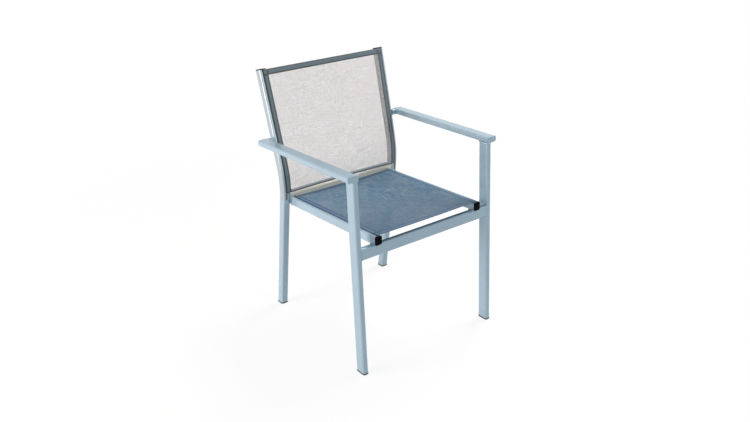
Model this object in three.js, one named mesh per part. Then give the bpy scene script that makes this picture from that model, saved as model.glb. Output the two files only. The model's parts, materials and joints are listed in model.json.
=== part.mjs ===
import * as THREE from 'three';
import { mergeVertices } from 'three/addons/utils/BufferGeometryUtils.js';

// Stacking sling armchair: a welded frame of flat oval tube and grooved extrusion, with a seat and a back
// of stretched mesh cloth. Lengths are in millimetres, +Z is up and the seat faces -Y. Left is the left
// side of someone who looks at the chair from the front, on -X. Until the last lines, Y starts at the
// front feet. The legs, posts and crossbars take their places from the seat rails.

// Flat tube of the front legs, armrests and crossbars
const tubeWidth = 40;
const tubeThickness = 20;
const tubeCorner = 6.5;
const tubeWall = 1.8;

// Sling extrusion of the back posts and seat rails
const trackWidth = 26;
const trackDepth = 30;
const trackCorner = 5.5;
const trackWall = 1.8;
const grooveLip = 2;
const grooveSlot = 4.5;
const grooveBore = 8;
const grooveBossWall = 1.5;
const grooveOffset = 2;

// Cloth and the rods that hold it
const clothThickness = 1;
const splinePlay = 0.45;
const hemWidth = 15;
const endHemWidth = 19;
const backBottomHem = 10;

// Clearance between pieces that touch or are welded
const touchGap = 0.3;

// Seat rails
const seatFrontHeight = 468.4;
const seatSlope = THREE.MathUtils.degToRad(3.3);
const seatDepth = 466.8;
const railOverhang = 8.6;

// Front legs
const frontLegLean = THREE.MathUtils.degToRad(4.1);
const railToLeg = 43;

// Rear crossbar
const rearBarRise = 16.5;
const rearBarInset = 6.2;

// Rear legs, and the back posts that stand on them
const postSpacing = 473;
const railClearance = 2;
const rearLegLean = THREE.MathUtils.degToRad(6.7);
const seamDrop = 24;
const postStraight = 2;
const bendRadius = 324;
const backRecline = THREE.MathUtils.degToRad(15.8);
const postTopHeight = 867;
const postSplay = THREE.MathUtils.degToRad(1.2);

// Armrests
const armFrontTop = 674.6;
const armRearTop = 652.6;
const armOverhang = 19.5;
const armRearInset = 2.2;
const bracketLength = 15;
const bracketDepth = 18;
const bracketHeight = 18;
const bracketCorner = 4;

// Slings
const seatFrontInset = 3;
const seatRearInset = 3;
const seatSag = 9;
const seatEdgeSag = 2;
const backSag = 9;
const backEdgeSag = 3;
const backSlingGap = 2;
const backSlingInset = 0.5;

// Plastic parts and end plates
const glideHeight = 5;
const glideLip = 1;
const glideBevel = 1.2;
const capThickness = 3;
const capBevel = 1;
const endPlateThickness = 2;
const endPlateBevel = 0.6;
const plugLength = 12;
const plugGap = 0.3;

// Fineness of the round stretches
const cornerSteps = 5;
const neckSteps = 3;
const boreSteps = 8;
const bossSteps = 6;
const bendSteps = 8;
const splineSides = 10;
const pocketSteps = 9;
const fieldSteps = 10;
const seatSteps = 8;
const backSteps = 5;

const left = -1;
const right = 1;
const quarter = Math.PI / 2;

const frameFinish = { color: 0x9aabb8, roughness: 0.42, metalness: 0.55 };
const plasticFinish = { color: 0x0b0c0e, roughness: 0.5, metalness: 0 };
const glideFinish = { color: 0x4a5258, roughness: 0.6, metalness: 0 };
const seatFinish = { color: 0x70879a, roughness: 0.85, metalness: 0 };
const backFinish = { color: 0xb9b9b8, roughness: 0.85, metalness: 0 };
const splineFinish = { color: 0xd9dcdc, roughness: 0.5, metalness: 0 };

const group = new THREE.Group();

function addPiece(name, geometry, finish) {
  const mesh = new THREE.Mesh(geometry, new THREE.MeshStandardMaterial(finish));
  mesh.name = name;
  group.add(mesh);
}

function sideName(side) {
  return side === left ? 'left' : 'right';
}

// Outlines

function arcPoints(u, v, radius, from, to, steps) {
  const points = [];
  for (let i = 0; i <= steps; i += 1) {
    const angle = from + (to - from) * i / steps;
    points.push(new THREE.Vector2(u + radius * Math.cos(angle), v + radius * Math.sin(angle)));
  }
  return points;
}

function roundedPoints(width, height, corner, centreV = 0) {
  const radius = Math.min(corner, width / 2, height / 2);
  const u = width / 2 - radius;
  const v = height / 2 - radius;
  return [
    ...arcPoints(u, centreV - v, radius, -quarter, 0, cornerSteps),
    ...arcPoints(u, centreV + v, radius, 0, quarter, cornerSteps),
    ...arcPoints(-u, centreV + v, radius, quarter, 2 * quarter, cornerSteps),
    ...arcPoints(-u, centreV - v, radius, 2 * quarter, 3 * quarter, cornerSteps),
  ];
}

function hollowShape(width, height, corner, wall) {
  const shape = new THREE.Shape(roundedPoints(width, height, corner));
  const inner = roundedPoints(width - 2 * wall, height - 2 * wall, corner - wall);
  shape.holes.push(new THREE.Path(inner));
  return shape;
}

function tubeShape(width, height) {
  return hollowShape(width, height, tubeCorner, tubeWall);
}

// The extrusion's section. Its grooved face is at -v, and the groove lies towards u = outward.
const grooveFace = -trackDepth / 2;
const boreRadius = grooveBore / 2;
const boreDepth = grooveLip + Math.sqrt(boreRadius ** 2 - (grooveSlot / 2) ** 2);
const boreV = grooveFace + boreDepth;
const bossRadius = boreRadius + grooveBossWall;

function cavityPoints(grooveU) {
  const width = trackWidth - 2 * trackWall;
  const corner = trackCorner - trackWall;
  const wallV = grooveFace + trackWall;
  const reach = Math.sqrt(bossRadius ** 2 - (boreV - wallV) ** 2);
  const angle = Math.atan2(wallV - boreV, reach);
  const front = Math.min(corner, width / 2 - Math.abs(grooveU) - reach);
  const frontU = width / 2 - front;
  const u = width / 2 - corner;
  const v = -wallV - corner;
  return [
    ...arcPoints(frontU, wallV + front, front, -quarter, 0, cornerSteps),
    ...arcPoints(u, v, corner, 0, quarter, cornerSteps),
    ...arcPoints(-u, v, corner, quarter, 2 * quarter, cornerSteps),
    ...arcPoints(-frontU, wallV + front, front, 2 * quarter, 3 * quarter, cornerSteps),
    ...arcPoints(grooveU, boreV, bossRadius, Math.PI - angle, angle, bossSteps),
  ];
}

function trackShape(grooveU) {
  const outline = roundedPoints(trackWidth, trackDepth, trackCorner);
  const opening = Math.asin(grooveSlot / 2 / boreRadius);
  const shape = new THREE.Shape([
    new THREE.Vector2(grooveU + grooveSlot / 2, grooveFace),
    ...outline,
    new THREE.Vector2(grooveU - grooveSlot / 2, grooveFace),
    ...arcPoints(grooveU, boreV, boreRadius, 3 * quarter - opening, -quarter + opening, boreSteps),
  ]);
  shape.holes.push(new THREE.Path(cavityPoints(grooveU)));
  return shape;
}

// Solids

// Moves a section through a row of stations. A station holds the place of the section's origin and the
// directions that its u and v take there, and the row runs towards u cross v.
function sweep(shape, stations, adjust = null) {
  const spans = stations.length - 1;
  const geometry = new THREE.ExtrudeGeometry(shape, { depth: spans, steps: spans, bevelEnabled: false });
  const position = geometry.getAttribute('position');
  const point = new THREE.Vector3();
  for (let i = 0; i < position.count; i += 1) {
    const station = stations[Math.round(position.getZ(i))];
    const section = new THREE.Vector2(position.getX(i), position.getY(i));
    if (adjust) {
      adjust(section, station);
    }
    point.copy(station.origin);
    point.addScaledVector(station.u, section.x);
    point.addScaledVector(station.v, section.y);
    position.setXYZ(i, point.x, point.y, point.z);
  }
  return finished(geometry);
}

function finished(geometry) {
  geometry.deleteAttribute('uv');
  geometry.deleteAttribute('normal');
  const merged = mergeVertices(geometry);
  merged.computeVertexNormals();
  return merged;
}

// Joins convex rings of equal count into one closed solid. The rings follow each other towards u cross v.
function loft(rings) {
  const count = rings[0].length;
  const index = [];
  for (let k = 0; k < rings.length - 1; k += 1) {
    for (let j = 0; j < count; j += 1) {
      const a = k * count + j;
      const b = k * count + (j + 1) % count;
      index.push(a, b, b + count, a, b + count, a + count);
    }
  }
  const last = (rings.length - 1) * count;
  for (let j = 1; j < count - 1; j += 1) {
    index.push(0, j + 1, j);
    index.push(last, last + j, last + j + 1);
  }
  const geometry = new THREE.BufferGeometry().setFromPoints(rings.flat());
  geometry.setIndex(index);
  geometry.computeVertexNormals();
  return geometry;
}

// A ring of section points at a station, moved by w along the given direction.
function ringAt(points, station, along, w) {
  return points.map((point) => station.origin.clone()
    .addScaledVector(station.u, point.x)
    .addScaledVector(station.v, point.y)
    .addScaledVector(along, w));
}

// Side view geometry

const axisX = new THREE.Vector3(1, 0, 0);
const axisY = new THREE.Vector3(0, 1, 0);
const axisZ = new THREE.Vector3(0, 0, 1);

// A direction in the side view, by its lean from upright towards the back.
function upward(lean) {
  return new THREE.Vector3(0, Math.sin(lean), Math.cos(lean));
}

function backward(lean) {
  return new THREE.Vector3(0, Math.cos(lean), -Math.sin(lean));
}

// The middles of the posts, rails and front legs, from the middle of the chair
const postX = postSpacing / 2;
const railX = postX - trackWidth - railClearance;
const legX = railX + trackWidth / 2 + railToLeg + tubeThickness / 2;

// The front leg's centre line and front face, by height
const frontLegY = (height) => height * Math.tan(frontLegLean);
const frontLegFaceY = (height) => frontLegY(height) - tubeWidth / 2 / Math.cos(frontLegLean);

// The rails run from before the front legs to the rear crossbar, which is welded between the posts.
const railFrontY = frontLegFaceY(seatFrontHeight) - railOverhang;
const rearBarFrontY = railFrontY + seatDepth;
const railRearY = rearBarFrontY - touchGap;
const railTop = (y) => seatFrontHeight - (y - railFrontY) * Math.tan(seatSlope);
const rearBarTop = railTop(railRearY) + rearBarRise;
const rearBarMiddleY = rearBarFrontY + tubeThickness / 2;

// The rear leg's centre line passes behind the middle of that crossbar.
const rearFootY = rearBarMiddleY + rearBarInset + (rearBarTop - tubeWidth / 2) * Math.tan(rearLegLean);
const rearLegTop = rearBarTop - seamDrop;

// The post's centre line: straight, an arc of bendRadius, straight again. Distances run from the floor.
const bendAngle = rearLegLean + backRecline;
const bendTangent = bendRadius * Math.tan(bendAngle / 2);
const lowerLength = (rearLegTop + postStraight) / Math.cos(rearLegLean);
const bendHeight = (lowerLength + bendTangent) * Math.cos(rearLegLean);
const arcLength = bendRadius * bendAngle;
const upperLength = (postTopHeight - bendHeight) / Math.cos(backRecline) - bendTangent;
const postLength = lowerLength + arcLength + upperLength;

function postStation(side, distance) {
  const origin = new THREE.Vector3(0, rearFootY, 0);
  origin.addScaledVector(upward(-rearLegLean), Math.min(distance, lowerLength));
  const turned = THREE.MathUtils.clamp((distance - lowerLength) / bendRadius, 0, bendAngle);
  const lean = turned - rearLegLean;
  origin.addScaledVector(backward(-rearLegLean), bendRadius);
  origin.addScaledVector(backward(lean), -bendRadius);
  origin.addScaledVector(upward(lean), Math.max(0, distance - lowerLength - arcLength));
  const spread = Math.max(0, origin.z - rearBarTop) * Math.tan(postSplay);
  origin.x = side * (postX + spread);
  return { origin, u: axisX, v: backward(lean), along: upward(lean), spread };
}

// The distance along the post at which its centre line reaches a height.
function postDistance(height) {
  let low = 0;
  let high = postLength;
  for (let i = 0; i < 40; i += 1) {
    const middle = (low + high) / 2;
    if (postStation(right, middle).origin.z < height) {
      low = middle;
    } else {
      high = middle;
    }
  }
  return low;
}

const bendDistances = [];
for (let i = 0; i <= bendSteps; i += 1) {
  bendDistances.push(lowerLength + arcLength * i / bendSteps);
}

// A station whose section lies in a level plane, for a tube that leans.
function levelStation(x, y, z, lean) {
  const v = axisY.clone().divideScalar(Math.cos(lean));
  return { origin: new THREE.Vector3(x, y, z), u: axisX, v };
}

// Rear legs and back posts

function rearLegStation(side, height) {
  const origin = postStation(side, height / Math.cos(rearLegLean)).origin;
  return levelStation(origin.x, origin.y, height, -rearLegLean);
}

function rearLeg(side) {
  const stations = [glideHeight + touchGap, rearLegTop].map((height) => rearLegStation(side, height));
  return sweep(hollowShape(trackWidth, trackDepth, trackCorner, trackWall), stations);
}

// The groove is open at both ends of the post.
function backPost(side) {
  const bend = [...bendDistances, postLength].map((distance) => postStation(side, distance));
  return sweep(trackShape(side * grooveOffset), [rearLegStation(side, rearLegTop + touchGap), ...bend]);
}

// Front legs and armrests

const armFrontY = frontLegFaceY(armFrontTop - tubeThickness);
const armPost = postStation(right, postDistance(armRearTop));
const armRearY = armPost.origin.y - armRearInset;
const armPitch = Math.atan((armFrontTop - armRearTop) / (armRearY - armFrontY));
const armTop = (y) => armFrontTop - (y - armFrontY) * Math.tan(armPitch);
const armUnderside = (y) => armTop(y) - tubeThickness / Math.cos(armPitch);

// The armrests spread a little from the front legs to the brackets on the posts.
const bracketInnerX = armPost.origin.x + trackWidth / 2 + touchGap;
const armFrontX = legX + tubeThickness / 2 + armOverhang;
const armRearX = bracketInnerX + bracketLength + touchGap + tubeWidth;

function armOuterX(y) {
  return THREE.MathUtils.lerp(armFrontX, armRearX, (y - armFrontY) / (armRearY - armFrontY));
}

function frontLeg(side) {
  const floorLevel = glideHeight + touchGap;
  const topZ = (armUnderside(0) - touchGap) / (1 + Math.tan(frontLegLean) * Math.tan(armPitch));
  const across = backward(armPitch);
  const stretch = 1 / across.dot(backward(frontLegLean));
  const top = {
    origin: new THREE.Vector3(side * legX, frontLegY(topZ), topZ),
    u: axisX,
    v: across.multiplyScalar(stretch),
  };
  const bottom = levelStation(side * legX, frontLegY(floorLevel), floorLevel, frontLegLean);
  return sweep(tubeShape(tubeThickness, tubeWidth), [bottom, top]);
}

// Stations of the armrest run from its rear end to its front end.
function armStation(side, y) {
  const up = backward(armPitch).cross(axisX).negate();
  const origin = new THREE.Vector3(side * (armOuterX(y) - tubeWidth / 2), y, armTop(y));
  origin.addScaledVector(up, -tubeThickness / 2);
  return { origin, u: axisX, v: up };
}

const armTubeFront = armFrontY + endPlateThickness + touchGap;
const armTubeRear = armRearY - endPlateThickness - touchGap;

function armrest(side) {
  const stations = [armStation(side, armTubeRear), armStation(side, armTubeFront)];
  return sweep(tubeShape(tubeWidth, tubeThickness), stations);
}

// A plate with a bevelled edge that closes a tube, and the plug on its back that goes into the tube.
function plugRings(outline, bevelled, plug, station, along, thickness, bevel) {
  return [
    ringAt(plug, station, along, -plugLength),
    ringAt(plug, station, along, touchGap),
    ringAt(outline, station, along, touchGap),
    ringAt(outline, station, along, touchGap + thickness - bevel),
    ringAt(bevelled, station, along, touchGap + thickness),
  ];
}

function tubePlug(station, along) {
  const inside = 2 * (tubeWall + plugGap);
  const outline = roundedPoints(tubeWidth, tubeThickness, tubeCorner);
  const bevelled = roundedPoints(tubeWidth - 2 * endPlateBevel, tubeThickness - 2 * endPlateBevel,
    tubeCorner - endPlateBevel);
  const plug = roundedPoints(tubeWidth - inside, tubeThickness - inside, tubeCorner - inside / 2);
  return loft(plugRings(outline, bevelled, plug, station, along, endPlateThickness, endPlateBevel));
}

function armFrontCap(side) {
  return tubePlug(armStation(side, armTubeFront), backward(armPitch).negate());
}

// The rear cap looks the other way, so its section is turned to keep u cross v along its axis.
function armRearCap(side) {
  const station = armStation(side, armTubeRear);
  return tubePlug({ ...station, u: axisX.clone().negate() }, backward(armPitch));
}

// The bracket that joins an armrest to its post, level with the armrest and flush with its rear end.
function armBracket(side) {
  const middleY = armRearY - bracketDepth / 2;
  const height = armTop(middleY) - tubeThickness / 2;
  const outer = armOuterX(armRearY - bracketDepth) - tubeWidth - touchGap;
  const ends = side === right ? [bracketInnerX, outer] : [-outer, -bracketInnerX];
  const stations = ends.map((x) => ({
    origin: new THREE.Vector3(x, middleY, height),
    u: backward(armPitch),
    v: upward(armPitch),
  }));
  return sweep(new THREE.Shape(roundedPoints(bracketDepth, bracketHeight, bracketCorner)), stations);
}

// Seat rails

// Stations of a rail run from back to front. The section's grooved face looks up.
function railStation(x, y) {
  const down = upward(seatSlope).negate();
  const origin = new THREE.Vector3(x, y, railTop(y));
  origin.addScaledVector(down, trackDepth / 2);
  return { origin, u: axisX.clone().negate(), v: down };
}

function seatRail(side) {
  const rear = railStation(side * railX, railRearY);
  rear.v = axisZ.clone().negate().divideScalar(Math.cos(seatSlope));
  rear.origin.set(side * railX, railRearY, railTop(railRearY) - trackDepth / 2 / Math.cos(seatSlope));
  return sweep(trackShape(-side * grooveOffset), [rear, railStation(side * railX, railFrontY)]);
}

// The plug fits the part of the extrusion's cavity that lies behind the groove.
const plugRear = trackDepth / 2 - trackWall - plugGap;
const plugFront = boreV + bossRadius + plugGap;

function trackPlugPoints() {
  const width = trackWidth - 2 * (trackWall + plugGap);
  return roundedPoints(width, plugRear - plugFront, trackCorner - trackWall, (plugRear + plugFront) / 2);
}

function trackPlug(station, along) {
  const outline = roundedPoints(trackWidth, trackDepth, trackCorner);
  const bevelled = roundedPoints(trackWidth - 2 * capBevel, trackDepth - 2 * capBevel,
    trackCorner - capBevel);
  return loft(plugRings(outline, bevelled, trackPlugPoints(), station, along, capThickness, capBevel));
}

function railPlug(side) {
  return trackPlug(railStation(side * railX, railFrontY), backward(seatSlope).negate());
}

function postCap(side) {
  const station = postStation(side, postLength);
  return trackPlug(station, station.along);
}

// Crossbars

// The front bar lies flush with the front of the legs and carries the rails.
function frontCrossbar() {
  const inset = tubeWidth / 2 - tubeThickness / 2;
  const origin = backward(frontLegLean).multiplyScalar(-inset);
  const railEdge = new THREE.Vector3(0, railFrontY, seatFrontHeight);
  const rise = upward(frontLegLean);
  const railNormal = upward(seatSlope);
  const halfHeight = tubeWidth / 2 * rise.dot(railNormal)
    + tubeThickness / 2 * Math.abs(Math.sin(frontLegLean - seatSlope));
  const drop = trackDepth + touchGap + halfHeight;
  origin.addScaledVector(rise, (railEdge.sub(origin).dot(railNormal) - drop) / rise.dot(railNormal));
  const end = legX - tubeThickness / 2 - touchGap;
  const stations = [-end, end].map((x) => ({
    origin: new THREE.Vector3(x, origin.y, origin.z),
    u: backward(frontLegLean),
    v: rise,
  }));
  return sweep(tubeShape(tubeThickness, tubeWidth), stations);
}

function rearCrossbar() {
  const end = postX - trackWidth / 2 - touchGap;
  const stations = [-end, end].map((x) => ({
    origin: new THREE.Vector3(x, rearBarMiddleY, rearBarTop - tubeWidth / 2),
    u: axisY,
    v: axisZ,
  }));
  return sweep(tubeShape(tubeThickness, tubeWidth), stations);
}

// Foot glides: a plate that stands level on the floor, and a plug that follows the leaning tube.
function footGlide(x, y, lean, width, depth, corner, plug) {
  const floor = levelStation(x, y, 0, lean);
  const along = upward(lean).divideScalar(Math.cos(lean));
  const lip = glideLip;
  const foot = glideLip - glideBevel;
  const outline = roundedPoints(width + 2 * lip, depth + 2 * lip, corner + lip);
  const bevelled = roundedPoints(width + 2 * foot, depth + 2 * foot, corner + foot);
  return loft([
    ringAt(bevelled, floor, along, 0),
    ringAt(outline, floor, along, glideBevel),
    ringAt(outline, floor, along, glideHeight),
    ringAt(plug, floor, along, glideHeight),
    ringAt(plug, floor, along, glideHeight + plugLength),
  ]);
}

function frontGlide(side) {
  const inside = 2 * (tubeWall + plugGap);
  const plug = roundedPoints(tubeThickness - inside, tubeWidth - inside, tubeCorner - inside / 2);
  return footGlide(side * legX, 0, frontLegLean, tubeThickness, tubeWidth, tubeCorner, plug);
}

function rearGlide(side) {
  const inside = 2 * (trackWall + plugGap);
  const plug = roundedPoints(trackWidth - inside, trackDepth - inside, trackCorner - inside / 2);
  return footGlide(side * postX, rearFootY, -rearLegLean, trackWidth, trackDepth, trackCorner, plug);
}

// Slings

// The section of a sling, from groove to groove. At each edge a pocket goes round the spline in the bore,
// its two layers come out of the slot beside the inner lip, and they lie on the face as a hem.
const pocketOuter = boreRadius - splinePlay;
const pocketInner = pocketOuter - clothThickness;
const splineRadius = pocketInner - touchGap;
const clothUnder = grooveFace - touchGap;
const hemFace = clothUnder - 2 * clothThickness;
const fieldUnder = hemFace + clothThickness;

function fieldHalf(grooveX) {
  return grooveX - grooveSlot / 2 - hemWidth;
}

// Points of the right edge, from the field's upper face round the pocket to its under face.
function edgePoints(grooveX) {
  const lip = grooveX - grooveSlot / 2;
  const neckOuter = lip + touchGap + 2 * clothThickness;
  const neckInner = lip + touchGap;
  const start = Math.acos((neckOuter - grooveX) / pocketOuter);
  const end = Math.acos((neckInner - grooveX) / pocketOuter);
  return [
    new THREE.Vector2(lip - hemWidth, hemFace),
    ...arcPoints(lip, grooveFace, neckOuter - lip, -quarter, 0, neckSteps),
    ...arcPoints(grooveX, boreV, pocketOuter, -start, 4 * quarter - end, pocketSteps),
    new THREE.Vector2(neckInner, grooveFace),
    new THREE.Vector2(lip, clothUnder),
    new THREE.Vector2(lip - hemWidth, clothUnder),
  ];
}

function slingShape(grooveX) {
  const half = fieldHalf(grooveX);
  const edge = edgePoints(grooveX);
  const mirrored = edge.map((point) => new THREE.Vector2(-point.x, point.y)).reverse();
  const upper = [];
  const under = [];
  for (let i = 1; i < fieldSteps; i += 1) {
    const u = half * (2 * i / fieldSteps - 1);
    upper.push(new THREE.Vector2(u, hemFace));
  }
  for (let i = 0; i <= fieldSteps; i += 1) {
    const u = half * (1 - 2 * i / fieldSteps);
    under.push(new THREE.Vector2(u, fieldUnder));
  }
  const shape = new THREE.Shape([...upper, ...edge, ...under, ...mirrored]);
  for (const x of [grooveX, -grooveX]) {
    const hole = arcPoints(x, boreV, pocketInner, 0, 4 * quarter, splineSides).slice(1);
    shape.holes.push(new THREE.Path(hole));
  }
  return shape;
}

// Lets the field sag away from the sitter, thickens it to two layers at the end hems, and widens it
// where the posts spread.
function slingAdjust(half) {
  return (section, station) => {
    const across = THREE.MathUtils.clamp(section.x / half, -1, 1);
    if (Math.abs(section.x) <= half + touchGap && Math.abs(section.y - fieldUnder) < touchGap) {
      section.y += station.hem * clothThickness;
    }
    section.y += station.sag * (1 - across ** 2);
    section.x += station.spread * across;
  };
}

// Places along a sling: its ends, both sides of the step where each end hem stops, and those between.
function slingPlaces(from, to, startHem, endHem, between) {
  const inner = from + startHem;
  const outer = to - endHem;
  const step = clothThickness;
  const middle = between.filter((place) => place > inner + step && place < outer - step);
  return [
    { place: from, hem: 1 },
    { place: inner - step, hem: 1 },
    ...[inner, ...middle, outer].map((place) => ({ place, hem: 0 })),
    { place: outer + step, hem: 1 },
    { place: to, hem: 1 },
  ].map(({ place, hem }) => ({ place, hem, share: (place - from) / (to - from) }));
}

function evenPlaces(from, to, steps) {
  return Array.from({ length: steps + 1 }, (unused, i) => from + (to - from) * i / steps);
}

function sagAt(share, middle, edge) {
  return edge + (middle - edge) * (1 - (2 * share - 1) ** 2);
}

const seatSlingRear = railRearY - seatRearInset;
const seatSlingFront = railFrontY + seatFrontInset;

function seatSling() {
  const grooveX = railX + grooveOffset;
  const length = seatSlingRear - seatSlingFront;
  const places = slingPlaces(0, length, endHemWidth, endHemWidth, evenPlaces(0, length, seatSteps));
  const stations = places.map(({ place, hem, share }) => {
    const station = railStation(0, seatSlingRear - place);
    return { ...station, hem, spread: 0, sag: sagAt(share, seatSag, seatEdgeSag) };
  });
  return sweep(slingShape(grooveX), stations, slingAdjust(fieldHalf(grooveX)));
}

// Along the bend the sling has the same steps as the posts.
const backSlingFrom = postDistance(rearBarTop + backSlingGap);
const backSlingTo = postLength - backSlingInset;
const backPlaces = slingPlaces(backSlingFrom, backSlingTo, backBottomHem, endHemWidth,
  [...bendDistances, ...evenPlaces(bendDistances.at(-1), backSlingTo, backSteps).slice(1)]);

function backSling() {
  const grooveX = postX + grooveOffset;
  const stations = backPlaces.map(({ place, hem, share }) => {
    const station = postStation(right, place);
    station.origin.x = 0;
    return { ...station, hem, sag: sagAt(share, backSag, backEdgeSag) };
  });
  return sweep(slingShape(grooveX), stations, slingAdjust(fieldHalf(grooveX)));
}

function splineShape(grooveU) {
  const points = arcPoints(grooveU, boreV, splineRadius, 0, 4 * quarter, splineSides);
  return new THREE.Shape(points.slice(1));
}

function seatSpline(side) {
  const stations = [seatSlingRear, seatSlingFront].map((y) => railStation(side * railX, y));
  return sweep(splineShape(-side * grooveOffset), stations);
}

function backSpline(side) {
  const stations = backPlaces.map(({ place }) => postStation(side, place));
  return sweep(splineShape(side * grooveOffset), stations);
}

// The chair

for (const side of [left, right]) {
  const name = sideName(side);
  addPiece(`${name}_front_leg`, frontLeg(side), frameFinish);
  addPiece(`${name}_rear_leg`, rearLeg(side), frameFinish);
  addPiece(`${name}_back_post`, backPost(side), frameFinish);
  addPiece(`${name}_seat_rail`, seatRail(side), frameFinish);
  addPiece(`${name}_armrest`, armrest(side), frameFinish);
  addPiece(`${name}_arm_bracket`, armBracket(side), frameFinish);
  addPiece(`${name}_arm_front_cap`, armFrontCap(side), frameFinish);
  addPiece(`${name}_arm_rear_cap`, armRearCap(side), frameFinish);
  addPiece(`${name}_post_cap`, postCap(side), plasticFinish);
  addPiece(`${name}_rail_plug`, railPlug(side), plasticFinish);
  addPiece(`${name}_front_glide`, frontGlide(side), glideFinish);
  addPiece(`${name}_rear_glide`, rearGlide(side), glideFinish);
  addPiece(`${name}_seat_spline`, seatSpline(side), splineFinish);
  addPiece(`${name}_back_spline`, backSpline(side), splineFinish);
}
addPiece('front_crossbar', frontCrossbar(), frameFinish);
addPiece('rear_crossbar', rearCrossbar(), frameFinish);
addPiece('seat_sling', seatSling(), seatFinish);
addPiece('back_sling', backSling(), backFinish);

// The origin is on the floor, under the middle of the chair's box.
const box = new THREE.Box3().setFromObject(group, true);
const centre = box.getCenter(new THREE.Vector3());
for (const mesh of group.children) {
  mesh.geometry.translate(-centre.x, -centre.y, -box.min.z);
}

export default group;
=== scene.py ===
# %% [markdown]
# # A sling patio armchair
# The chair is a welded frame of powder coated aluminium with two stretched slings of mesh cloth. The frame
# comes from the CAD model and only needs finishes. The cloth, its hems and the weld beads are made here,
# because they have more fine shape than a CAD solid should carry.

import json
import math

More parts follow.
